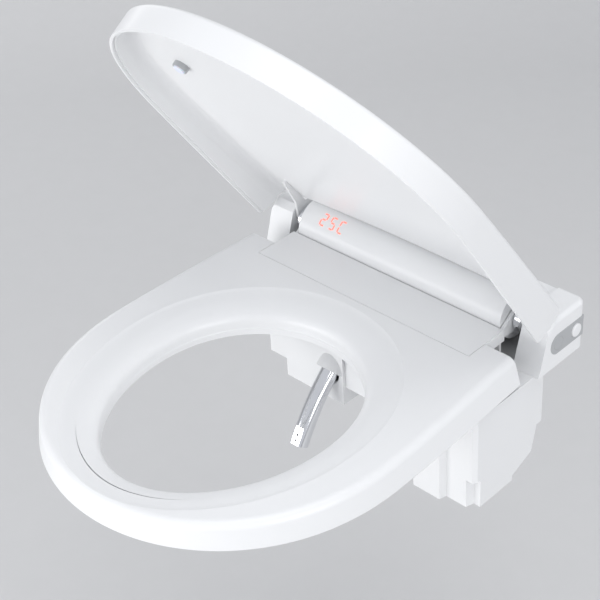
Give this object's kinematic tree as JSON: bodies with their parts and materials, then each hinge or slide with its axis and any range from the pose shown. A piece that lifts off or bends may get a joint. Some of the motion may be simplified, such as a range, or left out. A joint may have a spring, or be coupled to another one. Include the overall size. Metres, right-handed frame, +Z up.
{
  "type": "electric bidet toilet seat",
  "caption": "Electric bidet toilet seat: ring, deep hinged lid, rear housing with roll and side buttons, arc-guided wash nozzle, dryer flap, water module below.",
  "frame": {"origin": "midway between the two fixing holes, on the underside of the deck plate, where it stands on the bowl's rim", "axes": "+X to the side with the buttons, -Y to the seat's nose, +Z up"},
  "size_m": [0.402, 0.5138, 0.5498],
  "materials": {
    "white_gloss": "gloss",
    "white_satin": "satin",
    "grey_satin": "satin",
    "chrome": "polished",
    "steel": "brushed",
    "brass": "machined",
    "rubber": "matte",
    "clear_rubber": "satin",
    "dark_plastic": "matte",
    "board_green": "matte",
    "lit_red": "emissive",
    "foil": "matte",
    "carbon": "granular"
  },
  "bodies": {
    "housing": {"deck_plate": "white_satin", "upper_housing": "white_gloss", "roll_cover": "white_gloss", "roll_caps": "white_satin", "front_wall": "white_satin", "display_figures": "lit_red", "display_board": "board_green", "nozzle_trough": "white_satin", "nozzle_guide": "white_satin", "water_module_upper": "white_satin", "water_module_lower": "white_satin", "drain_plug": "grey_satin", "water_heater": "steel", "pump": "dark_plastic", "solenoid_valve": "dark_plastic", "flow_sensor": "grey_satin", "water_hoses": "clear_rubber", "water_inlet": "brass", "inlet_filter": "steel", "nozzle_motor": "steel", "dryer_fan_case": "dark_plastic", "dryer_heater": "foil", "dryer_duct": "dark_plastic", "deodoriser_fan_case": "dark_plastic", "carbon_cartridge": "carbon", "power_board": "board_green", "control_board": "board_green", "cable_gland": "rubber", "housing_screws": "steel", "hinge_bushings": "dark_plastic", "lid_gear_motor": "grey_satin", "seat_damper": "grey_satin", "control_strip": "grey_satin", "switch_board": "board_green"},
    "hinge_carrier": {"hinge_spindle": "steel", "hinge_knuckle_right": "chrome", "hinge_knuckle_left": "chrome"},
    "seat": {"seat_shell": "white_gloss", "seat_rear_cover": "white_gloss", "seat_base_plate": "white_satin", "seat_buffers": "rubber", "seat_screws": "steel", "seat_heater": "foil", "seat_arm_right": "white_satin", "seat_arm_left": "white_satin"},
    "lid": {"lid_shell": "white_gloss", "lid_liner": "white_gloss", "lid_buffer_collars": "grey_satin", "lid_buffer_tips": "clear_rubber", "lid_arm_right": "white_satin", "lid_arm_left": "white_satin"},
    "nozzle": {"nozzle_tube": "chrome", "nozzle_head": "chrome"},
    "pinion": {"nozzle_pinion": "white_satin"},
    "wash_button": {"button_wash": "grey_satin"},
    "dry_button": {"button_dry": "white_gloss"},
    "flap": {"dryer_flap": "white_satin"},
    "dryer_fan": {"dryer_impeller": "dark_plastic"},
    "deodoriser_fan": {"deodoriser_impeller": "dark_plastic"}
  },
  "joints": [
    {"name": "pair_lift", "type": "hinge", "parent": "housing", "child": "hinge_carrier", "pos_m": [0, 0, 0.042], "axis": [1, 0, 0], "range_deg": [-55, 0]},
    {"name": "seat_hinge", "type": "hinge", "parent": "hinge_carrier", "child": "seat", "pos_m": [0, 0, 0.042], "axis": [-1, 0, 0], "range_deg": [0, 45]},
    {"name": "lid_hinge", "type": "hinge", "parent": "hinge_carrier", "child": "lid", "pos_m": [0, 0, 0.042], "axis": [-1, 0, 0], "range_deg": [-55.5, 54.5]},
    {"name": "nozzle_arc", "type": "hinge", "parent": "housing", "child": "nozzle", "pos_m": [-0.018, 0.06117, -0.23162], "axis": [-1, 0, 0], "range_deg": [0, 15.43]},
    {"name": "pinion_spin", "type": "hinge", "parent": "housing", "child": "pinion", "pos_m": [-0.018, -0.0515, -0.024], "axis": [-1, 0, 0], "range_deg": [-427.67, 1]},
    {"name": "wash_button_press", "type": "slide", "parent": "housing", "child": "wash_button", "axis": [-1, 0, 0], "range_m": [0, 0.0012], "stiffness_N_per_m": 800, "springref_m": -0.0008},
    {"name": "dry_button_press", "type": "slide", "parent": "housing", "child": "dry_button", "axis": [-1, 0, 0], "range_m": [0, 0.0012], "stiffness_N_per_m": 800, "springref_m": -0.0008},
    {"name": "flap_swing", "type": "hinge", "parent": "housing", "child": "flap", "pos_m": [0.019, -0.1136, -0.0125], "axis": [-1, 0, 0], "range_deg": [0, 70]},
    {"name": "dryer_fan_spin", "type": "hinge", "parent": "housing", "child": "dryer_fan", "pos_m": [0.074, -0.074, -0.027], "axis": [0, 0, 1], "continuous": true},
    {"name": "deodoriser_fan_spin", "type": "hinge", "parent": "housing", "child": "deodoriser_fan", "pos_m": [-0.033, 0.034, 0.027], "axis": [0, 1, 0], "continuous": true}
  ],
  "couplings": [
    {"joint": "pinion_spin", "follows": "nozzle_arc", "ratio": -27.66}
  ]
}
